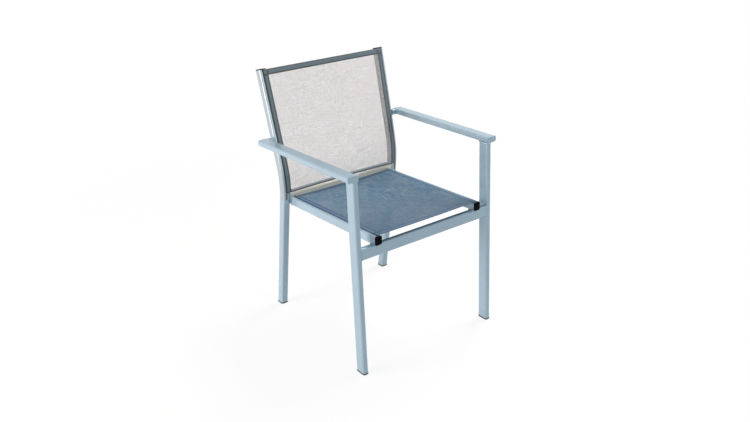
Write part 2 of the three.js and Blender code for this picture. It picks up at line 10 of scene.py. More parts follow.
import bmesh
import bpy
from mathutils import Vector
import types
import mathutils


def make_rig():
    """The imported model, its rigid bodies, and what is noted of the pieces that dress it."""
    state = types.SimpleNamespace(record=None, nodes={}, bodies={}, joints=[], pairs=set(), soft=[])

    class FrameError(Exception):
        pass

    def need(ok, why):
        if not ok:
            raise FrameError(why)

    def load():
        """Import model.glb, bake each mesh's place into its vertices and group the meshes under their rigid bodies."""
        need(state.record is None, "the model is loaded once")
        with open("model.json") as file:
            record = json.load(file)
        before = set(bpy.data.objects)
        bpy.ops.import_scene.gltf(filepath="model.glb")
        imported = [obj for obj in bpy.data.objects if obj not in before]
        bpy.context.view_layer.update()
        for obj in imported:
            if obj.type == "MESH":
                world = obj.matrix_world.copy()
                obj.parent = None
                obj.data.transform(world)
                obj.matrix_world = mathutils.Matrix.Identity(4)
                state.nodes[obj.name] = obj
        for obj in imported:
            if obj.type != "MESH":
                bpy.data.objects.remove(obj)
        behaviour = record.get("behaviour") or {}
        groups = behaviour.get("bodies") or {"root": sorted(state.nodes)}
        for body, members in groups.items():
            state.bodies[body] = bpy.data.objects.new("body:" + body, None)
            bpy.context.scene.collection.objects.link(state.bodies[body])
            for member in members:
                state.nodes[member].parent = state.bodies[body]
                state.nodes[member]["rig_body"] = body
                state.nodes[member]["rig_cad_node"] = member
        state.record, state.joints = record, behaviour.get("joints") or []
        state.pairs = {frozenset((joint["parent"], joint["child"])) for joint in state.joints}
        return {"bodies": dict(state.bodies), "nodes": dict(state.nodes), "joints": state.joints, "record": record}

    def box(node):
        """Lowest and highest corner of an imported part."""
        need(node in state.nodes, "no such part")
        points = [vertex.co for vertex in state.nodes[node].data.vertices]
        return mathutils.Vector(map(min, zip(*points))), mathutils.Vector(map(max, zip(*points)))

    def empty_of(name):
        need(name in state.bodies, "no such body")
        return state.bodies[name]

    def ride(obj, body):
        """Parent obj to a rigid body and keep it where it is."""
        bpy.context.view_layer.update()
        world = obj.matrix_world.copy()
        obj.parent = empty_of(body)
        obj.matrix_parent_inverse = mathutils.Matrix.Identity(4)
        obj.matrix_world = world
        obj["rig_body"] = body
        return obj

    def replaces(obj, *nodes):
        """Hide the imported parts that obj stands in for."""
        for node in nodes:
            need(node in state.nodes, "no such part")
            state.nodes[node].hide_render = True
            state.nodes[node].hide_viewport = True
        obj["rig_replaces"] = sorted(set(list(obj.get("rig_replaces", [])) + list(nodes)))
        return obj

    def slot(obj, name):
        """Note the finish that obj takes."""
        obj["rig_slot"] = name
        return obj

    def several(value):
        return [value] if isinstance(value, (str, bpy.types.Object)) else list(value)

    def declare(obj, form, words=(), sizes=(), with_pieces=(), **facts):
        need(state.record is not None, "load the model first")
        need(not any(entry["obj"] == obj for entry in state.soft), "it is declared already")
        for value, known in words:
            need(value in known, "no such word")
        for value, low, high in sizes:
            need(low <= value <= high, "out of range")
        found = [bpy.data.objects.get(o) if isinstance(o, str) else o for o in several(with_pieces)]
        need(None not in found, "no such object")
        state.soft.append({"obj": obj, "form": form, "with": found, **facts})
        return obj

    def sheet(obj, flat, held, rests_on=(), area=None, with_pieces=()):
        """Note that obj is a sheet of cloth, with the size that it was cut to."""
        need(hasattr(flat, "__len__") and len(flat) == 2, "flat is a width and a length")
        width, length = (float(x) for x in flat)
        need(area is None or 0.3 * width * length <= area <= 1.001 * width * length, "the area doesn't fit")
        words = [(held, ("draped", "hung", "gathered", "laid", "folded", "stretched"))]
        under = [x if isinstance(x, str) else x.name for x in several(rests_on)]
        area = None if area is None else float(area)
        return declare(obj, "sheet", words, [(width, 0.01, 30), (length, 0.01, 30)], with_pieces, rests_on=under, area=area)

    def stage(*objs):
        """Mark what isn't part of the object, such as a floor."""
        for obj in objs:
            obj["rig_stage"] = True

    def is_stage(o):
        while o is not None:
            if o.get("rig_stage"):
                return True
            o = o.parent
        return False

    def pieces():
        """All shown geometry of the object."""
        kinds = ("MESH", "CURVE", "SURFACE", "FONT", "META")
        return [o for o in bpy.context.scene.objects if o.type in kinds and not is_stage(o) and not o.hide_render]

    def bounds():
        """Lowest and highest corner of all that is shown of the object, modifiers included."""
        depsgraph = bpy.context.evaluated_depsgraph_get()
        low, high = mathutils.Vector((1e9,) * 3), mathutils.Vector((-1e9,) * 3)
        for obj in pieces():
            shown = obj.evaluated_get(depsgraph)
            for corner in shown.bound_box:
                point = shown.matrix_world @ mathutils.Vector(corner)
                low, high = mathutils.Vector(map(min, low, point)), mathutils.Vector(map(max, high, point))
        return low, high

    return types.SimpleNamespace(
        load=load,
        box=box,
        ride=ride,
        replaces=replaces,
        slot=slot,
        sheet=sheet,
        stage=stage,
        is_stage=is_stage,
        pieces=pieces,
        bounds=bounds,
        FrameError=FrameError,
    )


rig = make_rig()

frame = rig.load()
cad_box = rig.bounds()
print("CAD pieces:", len(frame["nodes"]), "box:", [round(x, 3) for x in (*cad_box[0], *cad_box[1])])

# %% [markdown]
# Shader nodes could be wired by hand, but their maths reads best as plain expressions. A small class holds a
# socket of a node tree, and each operator on it adds one Math node. Every other node comes from its method
# `node`, which names an input with _ for a space, or as i and its number. Two colours are mixed by `between`.

# %% Shader expressions


class Wire:
    def __init__(self, tree, socket=None):
        self.tree = tree
        self.socket = socket

    def node(self, kind, settings=None, output=0, **inputs):
        made = self.tree.nodes.new(kind)
        for key, value in (settings or {}).items():
            setattr(made, key, value)
        for key, value in inputs.items():
            name = key.replace("_", " ")
            socket = made.inputs[int(name[1:])] if name[1:].isdigit() else made.inputs[name]
            if isinstance(value, Wire):
                self.tree.links.new(value.socket, socket)
            else:
                socket.default_value = value
        return Wire(self.tree, made.outputs[output])

    def between(self, share, low, high):
        return self.node("ShaderNodeMix", {"data_type": "RGBA"}, output=2, i0=share, i6=low, i7=high)

    def maths(self, operation, *others):
        given = {f"i{i + 1}": other for i, other in enumerate(others)}
        return self.node("ShaderNodeMath", {"operation": operation}, i0=self, **given)

    def at_most(self, other):
        return self.maths("MINIMUM", other)

    def at_least(self, other):
        return self.maths("MAXIMUM", other)

    def fraction(self):
        return self.maths("FRACT")

    def __add__(self, other):
        return self.maths("ADD", other)

    def __sub__(self, other):
        return self.maths("SUBTRACT", other)

    def __rsub__(self, other):
        return self.maths("MULTIPLY_ADD", -1.0, other)

    def __mul__(self, other):
        return self.maths("MULTIPLY", other)

    def __truediv__(self, other):
        return self.maths("DIVIDE", other)

    def __lt__(self, other):
        return self.maths("LESS_THAN", other)

    def __gt__(self, other):
        return self.maths("GREATER_THAN", other)

    def __abs__(self):
        return self.maths("ABSOLUTE")

    def __round__(self):
        return self.maths("ROUND")

    __radd__ = __add__
    __rmul__ = __mul__


print("shader expressions ready")

# %% [markdown]
# A finish starts as a Principled surface. Values that are the same all over it are set on its sockets.
# Colours are written as they look on a screen, from 0 to 255, and turned into the linear values that
# light needs. No real finish is one flat colour, so each one is mottled between a darker and a lighter tone.

# %% Finish helpers


def screen(colour, gain=1.0):
    linear = [c / 255 / 12.92 if c < 10.3 else ((c / 255 + 0.055) / 1.055) ** 2.4 for c in colour]
    return (*[min(1.0, c * gain) for c in linear], 1.0)


def finish(name, colour, **sockets):
    material = bpy.data.materials.new(name)
    material.use_nodes = True
    shader = material.node_tree.nodes["Principled BSDF"]
    shader.inputs["Base Color"].default_value = screen(colour)
    for key, value in sockets.items():
        shader.inputs[key.replace("_", " ")].default_value = value
    return material, Wire(material.node_tree), shader


def feed(material, shader, **wires):
    for key, wire in wires.items():
        material.node_tree.links.new(wire.socket, shader.inputs[key.replace("_", " ")])


def noise(wire, place, scale, detail=2.0):
    return wire.node("ShaderNodeTexNoise", Vector=place, Scale=scale, Detail=detail)


def mottled(wire, share, colour, tones):
    return wire.between(share, *[screen(colour, tone) for tone in tones])


def bump(wire, height, depth, strength=0.5):
    return wire.node("ShaderNodeBump", Height=height, Distance=depth, Strength=strength)


print("finish helpers ready")

# %% [markdown]
# The frame has a satin coat of pale blue-grey with fine metal flake, so it takes some colour from what
# stands round it. Close up it has the orange peel of melted powder, a slow change of tone from thin to thick
# coats, and a little dust that dulls it unevenly. The same finish is made in three tones: the back posts get a
# more neutral copy as painted light, with painted shade on their inner sides, and the rear crossbar between
# the two slings gets a warm, light copy as painted light. Lamps could do that too, but they would change the
# other pieces with it.

# %% Powder coat
# The post and rear crossbar colours are copies of the frame coat as painted light; the posts' inner sides get painted
# shade.
FRAME_COLOUR, POST_PAINTED_LIGHT_COLOUR, REAR_BAR_PAINTED_LIGHT_COLOUR = (160, 184, 198), (166, 178, 185), (228, 220, 208)
THICKNESS_TONES, FLAKE_SHARE, METAL_SHARE, PEEL_DEPTH = (0.9, 1.1), 0.25, 0.25, 0.00004
CLOUD_SCALE, DUST_SCALE, PEEL_SCALE, FLAKE_SCALE = 11.0, 90.0, 900.0, 2400.0
CLEAN_ROUGHNESS, DUST_ROUGHNESS = 0.15, 0.14
POST_PAINTED_SHADE, PAINTED_SHADE_TONE, PAINTED_SHADE_PAST_SIDE = 0.45, 0.2, 0.001
TRACK_WIDTH = 0.026


def painted_shade_inner_side(wire, place):
    """Where the inner sides of the two back posts are, for their painted shade. The posts spread a little towards
    their tops.
    """
    low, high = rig.box("right_back_post")
    spread = (high[0] - TRACK_WIDTH - low[0]) / (high[2] - low[2])
    x, z = (wire.node("ShaderNodeSeparateXYZ", output=k, Vector=place) for k in ("X", "Z"))
    return abs(x) < (z - low[2]) * spread + low[0] + PAINTED_SHADE_PAST_SIDE


def powder_coat(name, colour, shade=0.0):
    material, wire, shader = finish(name, colour, Metallic=METAL_SHARE)
    place = wire.node("ShaderNodeTexCoord", output="Object")
    cloud, dust = noise(wire, place, CLOUD_SCALE, detail=3.0), noise(wire, place, DUST_SCALE, detail=4.0)
    flake, peel = noise(wire, place, FLAKE_SCALE, detail=0.0), noise(wire, place, PEEL_SCALE, detail=1.0)
    tone = mottled(wire, cloud * (1 - FLAKE_SHARE) + flake * FLAKE_SHARE, colour, THICKNESS_TONES)
    # Painted shade: the posts' inner sides are darkened towards a fifth of the coat's colour.
    if shade:
        tone = wire.between(painted_shade_inner_side(wire, place) * shade, tone, screen(colour, PAINTED_SHADE_TONE))
    feed(material, shader, Base_Color=tone, Roughness=CLEAN_ROUGHNESS + dust * DUST_ROUGHNESS,
         Normal=bump(wire, peel, PEEL_DEPTH))
    return material


coat = powder_coat("powder_coat", FRAME_COLOUR)
# The posts' coat is more neutral as painted light, with painted shade on its inner sides.
post_painted_light_and_shade_coat = powder_coat("post_powder_coat", POST_PAINTED_LIGHT_COLOUR, shade=POST_PAINTED_SHADE)
# The rear crossbar's warm, light coat is painted light.
bar_painted_light_coat = powder_coat("rear_bar_powder_coat", REAR_BAR_PAINTED_LIGHT_COLOUR)
print("powder coats made")

# %% [markdown]
# The caps and plugs are moulded black plastic, and the steel of the mould leaves a fine grain on them.
# The foot glides are grey and scuffed, and the splines in the grooves are white. One function makes all
# three, because they differ only in colour, roughness, gloss and the depth of their grain.

# %% Moulded plastics
GRAIN_SCALE, WEAR_SCALE, WEAR_TONES, WEAR_ROUGHNESS = 2600.0, 160.0, (0.8, 1.25), 0.16


def moulded(name, colour, rough, grain_depth, gloss):
    material, wire, shader = finish(name, colour, Specular_IOR_Level=gloss)
    place = wire.node("ShaderNodeTexCoord", output="Object")
    grain, wear = noise(wire, place, GRAIN_SCALE), noise(wire, place, WEAR_SCALE, detail=3.0)
    feed(material, shader, Base_Color=mottled(wire, wear, colour, WEAR_TONES),
         Roughness=rough - WEAR_ROUGHNESS / 2 + wear * WEAR_ROUGHNESS, Normal=bump(wire, grain, grain_depth))
    return material


black = moulded("black_plastic", (3, 3, 5), rough=0.5, grain_depth=0.00004, gloss=0.04)
grey = moulded("grey_plastic", (78, 86, 92), rough=0.6, grain_depth=0.00005, gloss=0.4)
white = moulded("white_rod", (216, 219, 219), rough=0.5, grain_depth=0.00002, gloss=0.4)
print("plastics made")

# %% [markdown]
# The frame's own solids keep their shape and get these finishes. A piece is found by a part of its name, and
# the plain coat is for all the rest. The two slings are left out, because the cloth made below stands for
# them.

# %% Dress the frame
FINISHES = {"post_cap": black, "rail_plug": black, "glide": grey, "spline": white,
            "back_post": post_painted_light_and_shade_coat, "rear_crossbar": bar_painted_light_coat}
SLINGS = ("seat_sling", "back_sling")

for name, node in frame["nodes"].items():
    if name not in SLINGS:
        choice = next((material for stem, material in FINISHES.items() if stem in name), coat)
        node.data.materials.clear()
        node.data.materials.append(choice)
print("frame dressed")

# %% [markdown]
# Where two tubes meet, the welder runs a bead round the joint. Its ripples are the frozen pools of the
# weld. A curve with a round bevel could give a smooth rope, but no ripples. So a bead starts as a flat grid.
# Each of its columns is wrapped into a ring about one place of the joint's outline, with a size of its own,
# and merging the doubles closes it. The outline comes first: a rectangle with round corners, in even steps.

# %% Outline of a joint
TUBE_WIDTH, TUBE_THICKNESS, TUBE_CORNER = 0.040, 0.020, 0.0065
BEAD_STEP, CORNER_STEPS = 0.0011, 8


def rounded(width, height, corner):
    """Places round a rectangle with rounded corners, clockwise from the middle of its top side."""
    top = Vector((0, height / 2))
    around = [top]
    for u, v, start in ((1, 1, 90), (1, -1, 0), (-1, -1, -90), (-1, 1, -180)):
        centre = Vector((u * (width / 2 - corner), v * (height / 2 - corner)))
        for i in range(CORNER_STEPS + 1):
            angle = math.radians(start - 90 * i / CORNER_STEPS)
            around.append(centre + corner * Vector((math.cos(angle), math.sin(angle))))
    places = []
    for a, b in zip(around, around[1:] + [top]):
        parts = max(1, round((b - a).length / BEAD_STEP))
        places += [a.lerp(b, i / parts) for i in range(parts)]
    return places


print("places round a leg:", len(rounded(TUBE_THICKNESS, TUBE_WIDTH, TUBE_CORNER)))

# %% Weld bead
BEAD_SIDES, RIPPLE_PITCH, RIPPLE_DEPTH = 8, 0.0033, 0.11
WOBBLE_DEPTH, WOBBLE_PACE = 0.06, 0.83
TAPER_STEPS, TIP_STEP = 3, 0.01
TOP_SLACK, MERGE_DISTANCE = 1e-5, 1e-6


def add_piece(name, bm, materials):
    mesh = bpy.data.meshes.new(name)
    bm.to_mesh(mesh)
    bm.free()
    for material in materials:
        mesh.materials.append(material)
    piece = bpy.data.objects.new(name, mesh)
    bpy.context.collection.objects.link(piece)
    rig.ride(piece, "root")
    return piece


def bead(name, centre, u, v, outline, radius, open_top=False):
    """A bead round the outline of a joint, in the plane of u and v. It can leave out the top side."""
    if open_top:
        top = max(place.y for place in outline)
        outline = [place for place in outline if place.y < top - TOP_SLACK]
    count = len(outline)
    spans = count - 1 if open_top else count
    bm = bmesh.new()
    bmesh.ops.create_grid(bm, x_segments=spans, y_segments=BEAD_SIDES, size=0.5)
    for vert in bm.verts:
        i = round((vert.co.x + 0.5) * spans) % count
        around = 2 * math.pi * round((vert.co.y + 0.5) * BEAD_SIDES) / BEAD_SIDES
        before, after = outline[i - 1], outline[(i + 1) % count]
        along = Vector((0, -1)) if open_top and i in (0, count - 1) else (after - before).normalized()
        ripple = RIPPLE_DEPTH * math.sin(2 * math.pi * i * BEAD_STEP / RIPPLE_PITCH)
        size = radius * (1 + ripple + WOBBLE_DEPTH * math.sin(i * WOBBLE_PACE))
        if open_top:
            size *= min(1.0, math.sqrt((min(i, count - 1 - i) + TIP_STEP) / TAPER_STEPS))
        flat = outline[i] + Vector((along.y, -along.x)) * size * math.cos(around)
        vert.co = centre + u * flat.x + v * flat.y + u.cross(v) * size * math.sin(around)
    bmesh.ops.remove_doubles(bm, verts=bm.verts, dist=MERGE_DISTANCE)
    bmesh.ops.recalc_face_normals(bm, faces=bm.faces)
    for face in bm.faces:
        face.smooth = True
    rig.slot(add_piece(name, bm, [coat]), "frame")


print("bead ready")

# %% [markdown]
# The joints could be typed in as places, but then they would be wrong after any change of the frame. So they
# are found from the frame itself: the middle of a tube's end is the average of the places of its end ring.
# The front legs lean back, the armrests and the seat fall a little to the rear, and each bead lies in the
# plane of its own joint.

# %% Directions and ends
X, Y, Z = Vector((1, 0, 0)), Vector((0, 1, 0)), Vector((0, 0, 1))
FRONT_LEAN, ARM_PITCH, SEAT_SLOPE = (math.radians(angle) for angle in (4.1, 2.54, 3.3))


def rise(lean):
    return Vector((0, math.sin(lean), math.cos(lean)))


def backward(lean):
    return Vector((0, math.cos(lean), -math.sin(lean)))


def end_middle(node, axis, side):
    low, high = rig.box(node)
    half_way = (low[axis] + high[axis]) / 2
    ring = [v.co for v in frame["nodes"][node].data.vertices if (v.co[axis] - half_way) * side > 0]
    return sum(ring, Vector()) / len(ring)


print("left leg meets its armrest at", [round(c, 4) for c in end_middle("left_front_leg", 2, 1)])

# %% Sizes of the rails
TRACK_DEPTH, TRACK_CORNER = 0.030, 0.0055

rail_low, rail_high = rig.box("left_seat_rail")
rail_x = -(rail_low[0] + rail_high[0]) / 2
rail_front_y = rail_low[1] + TRACK_DEPTH * math.sin(SEAT_SLOPE)


def rail_top(y):
    return rail_high[2] - (y - rail_front_y) * math.tan(SEAT_SLOPE)


print("rails at", round(rail_x, 4), "front end at", round(rail_front_y, 4))

# %% [markdown]
# Every joint gets a bead of its own thickness. The beads of the front crossbar are sunk into the joint, so
# that only a small soft corner shows, and each lies a little inside the leg's wall. A seat rail stands on
# the front crossbar, and its bead follows the patch where they touch. A bead at the end of a groove leaves
# the top side out, because the groove is open there.

# %% Beads of both sides
BRACKET_SIDE, BRACKET_CORNER = 0.018, 0.004
SUNK_SIZE, SUNK_CORNER, SUNK_DEPTH = (TUBE_THICKNESS - 0.0035, TUBE_WIDTH - 0.003), 0.005, 0.002
CONTACT_SIZE, CONTACT_CORNER = (TRACK_WIDTH - 0.0035, TUBE_THICKNESS - 0.001), 0.004
BEAD_RADIUS = {"front_bar": 0.0029, "rear_bar": 0.0019, "arm": 0.0021, "bracket": 0.0015, "seam": 0.0008,
               "rail_front": 0.0024, "rail_rear": 0.0018}

tube = rounded(TUBE_THICKNESS, TUBE_WIDTH, TUBE_CORNER)
track = rounded(TRACK_WIDTH, TRACK_DEPTH, TRACK_CORNER)
bracket = rounded(BRACKET_SIDE, BRACKET_SIDE, BRACKET_CORNER)
sunk = rounded(*SUNK_SIZE, SUNK_CORNER)
contact = rounded(*CONTACT_SIZE, CONTACT_CORNER)

on_bar = end_middle("front_crossbar", 0, 1) + rise(FRONT_LEAN) * TUBE_WIDTH / 2
rail_end = Vector((0, rail_high[1], rail_top(rail_high[1]) - TRACK_DEPTH / 2 / math.cos(SEAT_SLOPE)))

for side, sign in (("left", -1), ("right", 1)):
    bar_end = end_middle("front_crossbar", 0, sign) + X * sign * SUNK_DEPTH
    bead(f"{side}_front_bar_weld", bar_end, backward(FRONT_LEAN), rise(FRONT_LEAN), sunk,
         BEAD_RADIUS["front_bar"])
    bead(f"{side}_rear_bar_weld", end_middle("rear_crossbar", 0, sign), Y, Z, tube, BEAD_RADIUS["rear_bar"])
    bead(f"{side}_arm_weld", end_middle(f"{side}_front_leg", 2, 1), X, backward(ARM_PITCH), tube,
         BEAD_RADIUS["arm"])
    for end, way in (("inner", -sign), ("outer", sign)):
        bead(f"{side}_bracket_{end}_weld", end_middle(f"{side}_arm_bracket", 0, way), backward(ARM_PITCH),
             rise(ARM_PITCH), bracket, BEAD_RADIUS["bracket"])
    bead(f"{side}_seam_weld", end_middle(f"{side}_rear_leg", 2, 1), X, -Y, track, BEAD_RADIUS["seam"],
         open_top=True)
    bead(f"{side}_rail_front_weld", Vector((sign * rail_x, on_bar.y, on_bar.z)), X, backward(SEAT_SLOPE),
         contact, BEAD_RADIUS["rail_front"])
    bead(f"{side}_rail_rear_weld", rail_end + X * sign * rail_x, X, Z, track, BEAD_RADIUS["rail_rear"],
         open_top=True)
print("weld beads made")

# %% [markdown]
# The sides of a sling follow the extrusions that hold it, so the cloth needs their centre lines. A back
# post leans forward to its bend, turns through one arc and then leans back. A seat rail is straight. Both
# lines are worked out from the frame's boxes and a few sizes of the CAD model.

# %% Centre lines
LEG_LEAN, RECLINE, SPLAY = (math.radians(angle) for angle in (6.7, 15.8, 1.2))
BEND_RADIUS, POST_STRAIGHT, BAR_INSET = 0.324, 0.002, 0.0062

bar = (end_middle("rear_crossbar", 0, -1) + end_middle("rear_crossbar", 0, 1)) / 2
bar_top = bar.z + TUBE_WIDTH / 2
post_x = -end_middle("left_rear_leg", 2, 1).x
foot_y = bar.y + BAR_INSET + bar.z * math.tan(LEG_LEAN)
post_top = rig.box("left_back_post")[1][2] - TRACK_DEPTH / 2 * math.sin(RECLINE)

turn = LEG_LEAN + RECLINE
tangent = BEND_RADIUS * math.tan(turn / 2)
straight = (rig.box("left_rear_leg")[1][2] + POST_STRAIGHT) / math.cos(LEG_LEAN)
bend_height = (straight + tangent) * math.cos(LEG_LEAN)
arc = BEND_RADIUS * turn
post_length = straight + arc + (post_top - bend_height) / math.cos(RECLINE) - tangent


def post_frame(distance):
    """The post's centre, its backward direction and its spread to the side, at a distance from the floor."""
    lean = min(max((distance - straight) / BEND_RADIUS, 0), turn) - LEG_LEAN
    centre = Vector((0, foot_y, 0)) + rise(-LEG_LEAN) * min(distance, straight)
    centre += (backward(-LEG_LEAN) - backward(lean)) * BEND_RADIUS
    centre += rise(lean) * max(0, distance - straight - arc)
    return centre, backward(lean), max(0, centre.z - bar_top) * math.tan(SPLAY)


def rail_frame(y):
    """The place midway between the rails' centre lines at y, the seat's way down, and no spread."""
    down = -rise(SEAT_SLOPE)
    return Vector((0, y, rail_top(y))) + down * TRACK_DEPTH / 2, down, 0


print("post length:", round(post_length, 4), "bend at", round(bend_height, 4), "foot at", round(foot_y, 4))

# %% [markdown]
# Across the chair, the cloth crosses the rail's inner lip, goes down into the groove, round the spline and
# up again, and comes back under itself as the hem's second layer. A flat sheet that ends at the lip would
# look the same from afar, but not close by or from below. The first path below is the right edge of that
# section. The whole section is a list of (x, v, length of cloth from the middle), so that the weave keeps
# its scale all the way.

# %% Section of a sling
FACE = -TRACK_DEPTH / 2
SLOT, BORE, LIP, GROOVE_OFFSET = 0.0045, 0.008, 0.002, 0.002
HEM, CLOTH, POCKET = 0.015, 0.0005, 0.00265
UNDER_LAYER, TOP_LAYER = 0.0009, 0.0016
TOP_STEPS, LIP_STEPS, POCKET_STEPS, RETURN_STEPS, UNDER_STEPS, FIELD_STEPS = 6, 5, 16, 4, 5, 36


def arc_path(x, v, radius, start, stop, steps):
    angles = [start + (stop - start) * i / steps for i in range(steps + 1)]
    return [(x + radius * math.cos(angle), v + radius * math.sin(angle)) for angle in angles]


def edge_path(groove_x):
    lip = groove_x - SLOT / 2
    bore_v = FACE + LIP + math.sqrt((BORE / 2) ** 2 - (SLOT / 2) ** 2)
    first = math.acos((TOP_LAYER - SLOT / 2) / POCKET)
    last = math.acos((UNDER_LAYER - SLOT / 2) / POCKET)
    quarter = math.pi / 2
    path = [(lip - HEM * (1 - i / TOP_STEPS), FACE - TOP_LAYER) for i in range(TOP_STEPS)]
    path += arc_path(lip, FACE, TOP_LAYER, -quarter, 0, LIP_STEPS)
    path += arc_path(groove_x, bore_v, POCKET, -first, 2 * math.pi - last, POCKET_STEPS)
    path += arc_path(lip, FACE, UNDER_LAYER, 0, -quarter, RETURN_STEPS)
    return path + [(lip - HEM * i / UNDER_STEPS, FACE - UNDER_LAYER) for i in range(1, UNDER_STEPS + 1)]


def section(groove_x):
    edge = edge_path(groove_x)
    half = edge[0][0]
    lengths = [half]
    for (x0, v0), (x1, v1) in zip(edge, edge[1:]):
        lengths.append(lengths[-1] + math.hypot(x1 - x0, v1 - v0))
    right = [(x, v, length) for (x, v), length in zip(edge, lengths)]
    field = [(half * (2 * i / FIELD_STEPS - 1), FACE - TOP_LAYER) for i in range(1, FIELD_STEPS)]
    return [(-x, v, -length) for x, v, length in reversed(right)] + [(x, v, x) for x, v in field] + right


print("places across the seat:", len(section(rail_x + GROOVE_OFFSET)))

# %% [markdown]
# A grid makes each piece of cloth: its columns take the places of the section and its rows follow the posts
# or the rails. A cloth simulation could give the sag, but a stretched sling hangs in a simple curve, which
# is quicker and always the same. A UV map holds the place on the cloth as it was cut, in metres. The hems
# get a finish of their own, and Solidify gives the cloth its thickness.

# %% Cloth builder
LENGTH_SLACK = 1e-6


class Sling:
    """Where a sling's cloth lies. Lengths run along its rails from one end of it to the other."""

    def __init__(self, groove_x, length, hems, frame_at, sag, edge_sag):
        self.columns = section(groove_x)
        self.half = groove_x - SLOT / 2 - HEM
        self.cut_half = self.columns[-1][2]
        self.length, self.hems, self.frame_at = length, hems, frame_at
        self.sag, self.edge_sag = sag, edge_sag
        self.finishes = []

    def inner_columns(self):
        """The columns of the field, between the two side hems."""
        return [column for column in self.columns if abs(column[0]) <= self.half + LENGTH_SLACK and
                abs(column[2]) <= self.half + LENGTH_SLACK]

    def place(self, column, along, depth):
        x, v, _ = column
        across = max(-1, min(1, x / self.half))
        share = along / self.length
        drop = self.edge_sag + (self.sag - self.edge_sag) * (1 - (2 * share - 1) ** 2)
        centre, down, spread = self.frame_at(along)
        return centre + down * (v + depth + drop * (1 - across ** 2)) + X * (x + spread * across)

    def weave(self, name, columns, rows):
        """Rows are (length along the sling, depth under its top layer, place on the cut cloth)."""
        wide, high = len(columns) - 1, len(rows) - 1
        bm = bmesh.new()
        bmesh.ops.create_grid(bm, x_segments=wide, y_segments=high, size=0.5)
        uv = bm.loops.layers.uv.new("cloth")
        cut = {}
        for vert in bm.verts:
            column = columns[round((vert.co.x + 0.5) * wide)]
            along, depth, place = rows[round((vert.co.y + 0.5) * high)]
            vert.co = self.place(column, along, depth)
            cut[vert] = (column[2], place)
        for face in bm.faces:
            u, w = (sum(cut[vert][k] for vert in face.verts) / len(face.verts) for k in (0, 1))
            field = abs(u) < self.half and self.hems[0] < w < self.length - self.hems[1]
            face.material_index = 0 if field else 1
            face.smooth = True
            for loop in face.loops:
                loop[uv].uv = cut[loop.vert]
        bmesh.ops.recalc_face_normals(bm, faces=bm.faces)
        cloth = add_piece(name, bm, self.finishes)
        thick = cloth.modifiers.new("thickness", "SOLIDIFY")
        thick.thickness, thick.offset = CLOTH, 0.0
        return cloth


print("cloth builder ready")

# %% [markdown]
# At its two ends a sling's field is folded under itself and sewn. The fold is a strip of its own: it starts
# at the end of the top layer, turns round in a small half circle and runs back under the field. As a strip
# of its own it can leave out the side hems, where so many layers would run through one another.

# %% Rows of a sling
END_HEM, BACK_LOW_HEM, FOLD = 0.019, 0.010, 0.00035
FIELD_ROWS, HEM_ROWS, FOLD_ROWS = 44, 4, 6


def main_rows(length, hems):
    inner, outer = hems[0], length - hems[1]
    places = [hems[0] * i / HEM_ROWS for i in range(HEM_ROWS)]
    places += [inner + (outer - inner) * i / FIELD_ROWS for i in range(FIELD_ROWS + 1)]
    places += [outer + hems[1] * i / HEM_ROWS for i in range(1, HEM_ROWS + 1)]
    return [(place, 0.0, place) for place in places]


def fold_rows(end, way, hem):
    """Rows of the strip that is folded under at an end, where way points from that end into the cloth."""
    turned = [math.pi * i / FOLD_ROWS for i in range(FOLD_ROWS + 1)]
    rows = [(end - way * FOLD * math.sin(a), FOLD * (1 - math.cos(a)), end - way * FOLD * a) for a in turned]
    under = [hem * i / HEM_ROWS for i in range(1, HEM_ROWS + 1)]
    return rows + [(end + way * run, 2 * FOLD, end - way * (FOLD * math.pi + run)) for run in under]


print("rows of a fold:", len(fold_rows(0, 1, END_HEM)))

# %% [markdown]
# The cloth is woven from coated polyester yarn. Two sets of yarns cross at right angles, and what they
# leave open is see-through. Yarns as geometry would cross more than a hundred thousand times in each
# sling, so the finish draws them on the cut cloth's UV map: a yarn is where a triangle wave is low, its
# crown stands up and is painted lighter than its flanks as painted shade of the relief, and the crossings go
# over and under in turn. The yarns wander a little and vary in width and tone, mostly in streaks along
# themselves, which gives the cloth its fine grain. The seat gets painted shade towards its front left corner.

# %% Weave
PITCH, WANDER, WANDER_SCALES = 0.0012, 0.3, (64.0, 78.0)
SLUB_SCALE, STREAK_SCALE, STREAK_STRETCH = 380.0, 200.0, 0.14


def weave_place(wire):
    place = wire.node("ShaderNodeUVMap", {"uv_map": "cloth"})
    return place, [wire.node("ShaderNodeSeparateXYZ", output=k, Vector=place) for k in ("X", "Y")]


def streaks(wire, place):
    """Noise that is drawn out along both sets of yarns, from about -0.5 to 0.5."""
    drawn = [wire.node("ShaderNodeVectorMath", {"operation": "MULTIPLY"}, i0=place, i1=stretch)
             for stretch in ((1, STREAK_STRETCH, 1), (STREAK_STRETCH, 1, 1))]
    along_w, along_u = (noise(wire, at, STREAK_SCALE, detail=3.0) for at in drawn)
    return (along_w + along_u) * 0.5 - 0.5


print("yarns in a metre:", round(1 / PITCH))

# %% Mesh cloth
YARN_EDGE, STREAK_WIDTH, STREAK_WIDTH_GAIN = 5, 0.42, 0.3
OVER_RISE, CROWN_DEPTH, CROWN_STRENGTH = 0.4, 0.0004, 0.35
MEAN_TONE, CROWN_PAINTED_SHADE_TONE, SLUB_TONE, STREAK_TONE, PATCH_TONE, PATCH_SCALE = 0.18, 0.45, 0.8, 4.2, 0.9, 14.0
SEAT_PAINTED_SHADE_COLOUR, SEAT_PAINTED_SHADE_RUN, SEAT_PAINTED_SHADE_START, SEAT_PAINTED_SHADE_LEFT = (2, 72, 102), 0.32, 0.4, 1.7


